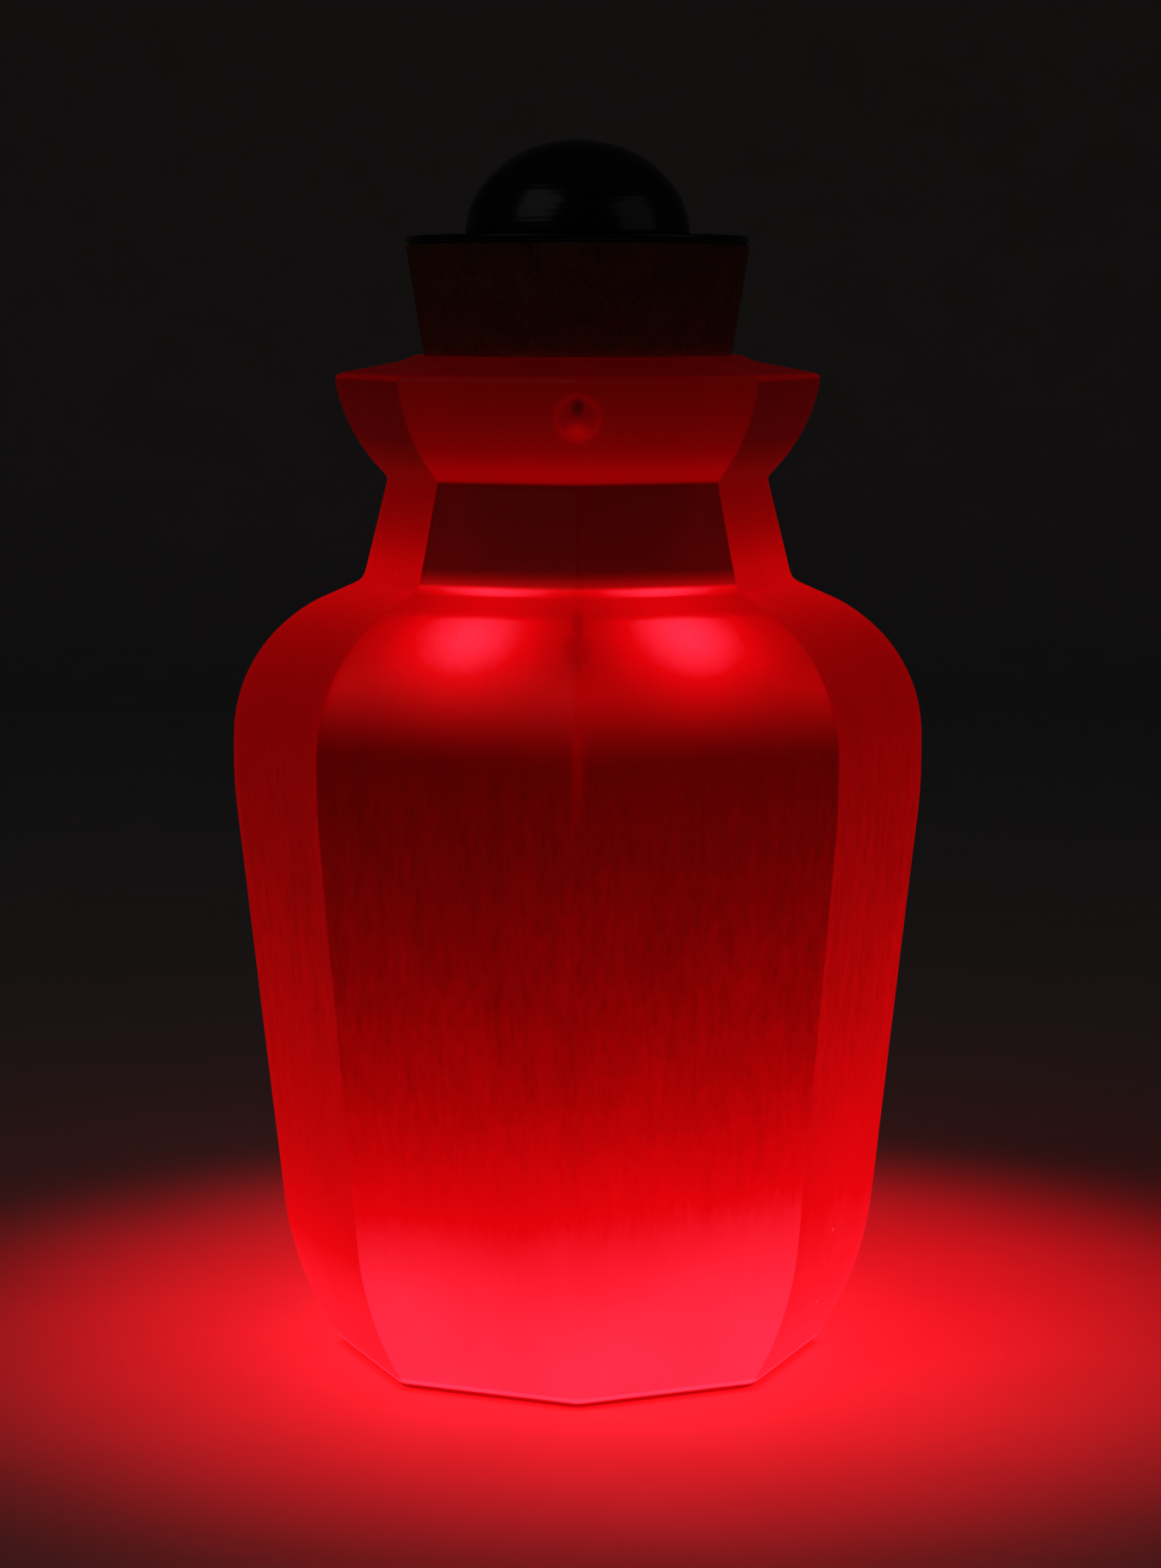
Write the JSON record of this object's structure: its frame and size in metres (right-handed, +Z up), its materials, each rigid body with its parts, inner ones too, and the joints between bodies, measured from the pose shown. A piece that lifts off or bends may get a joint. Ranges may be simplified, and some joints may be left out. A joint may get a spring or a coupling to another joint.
{
  "type": "illuminated stoppered jar",
  "caption": "Octagonal satin-glass apothecary jar with a flared collar, a tapered cork stopper with a black domed knob, and a red battery light standing inside.",
  "frame": {"origin": "centre of the jar's foot, on the surface that it stands on", "axes": "+Z up along the axis of the jar and its stopper; -Y is the front, where a vertical edge of the octagon faces the viewer; the other main edges face +X, -X and +Y"},
  "size_m": [0.1028, 0.1028, 0.1803],
  "materials": {
    "satin_glass": "acid-etched satin, lit red from inside",
    "cork": "sanded cork",
    "black_lacquer": "black lacquer",
    "beech": "plain",
    "silicone": "matt",
    "white_plastic": "moulded",
    "spring_steel": "plated",
    "cell_steel": "nickel plated",
    "contact_brass": "plain",
    "circuit_board": "solder mask",
    "red_lamp": "clear red resin",
    "chip_black": "moulded resin",
    "seal_rubber": "matt",
    "clear_plastic": "clear moulded"
  },
  "bodies": {
    "jar": {"glass_jar": "satin_glass"},
    "stopper": {"stopper_plug": "cork", "cap_disc": "black_lacquer", "dome_knob": "black_lacquer", "knob_dowel": "beech"},
    "light": {"grip_pad": "silicone", "light_base": "white_plastic", "battery_spring": "spring_steel", "cell_lower": "cell_steel", "cell_upper": "cell_steel", "side_contact": "contact_brass", "centre_contact": "contact_brass", "led_board": "circuit_board", "led_1": "red_lamp", "led_2": "red_lamp", "led_3": "red_lamp", "driver_chip": "chip_black", "resistor": "chip_black", "board_ring": "white_plastic", "sealing_ring": "seal_rubber"},
    "cap": {"light_cap": "clear_plastic"}
  },
  "joints": [
    {"name": "stopper_lift", "type": "slide", "parent": "jar", "child": "stopper", "axis": [0, 0, 1], "range_m": [0, 0.06]},
    {"name": "light_lift", "type": "slide", "parent": "jar", "child": "light", "axis": [0, 0, 1], "range_m": [0, 0.075]},
    {"name": "cap_twist", "type": "hinge", "parent": "light", "child": "cap", "pos_m": [0, 0, 0.02], "axis": [0, 0, 1], "range_deg": [0, 40]}
  ]
}
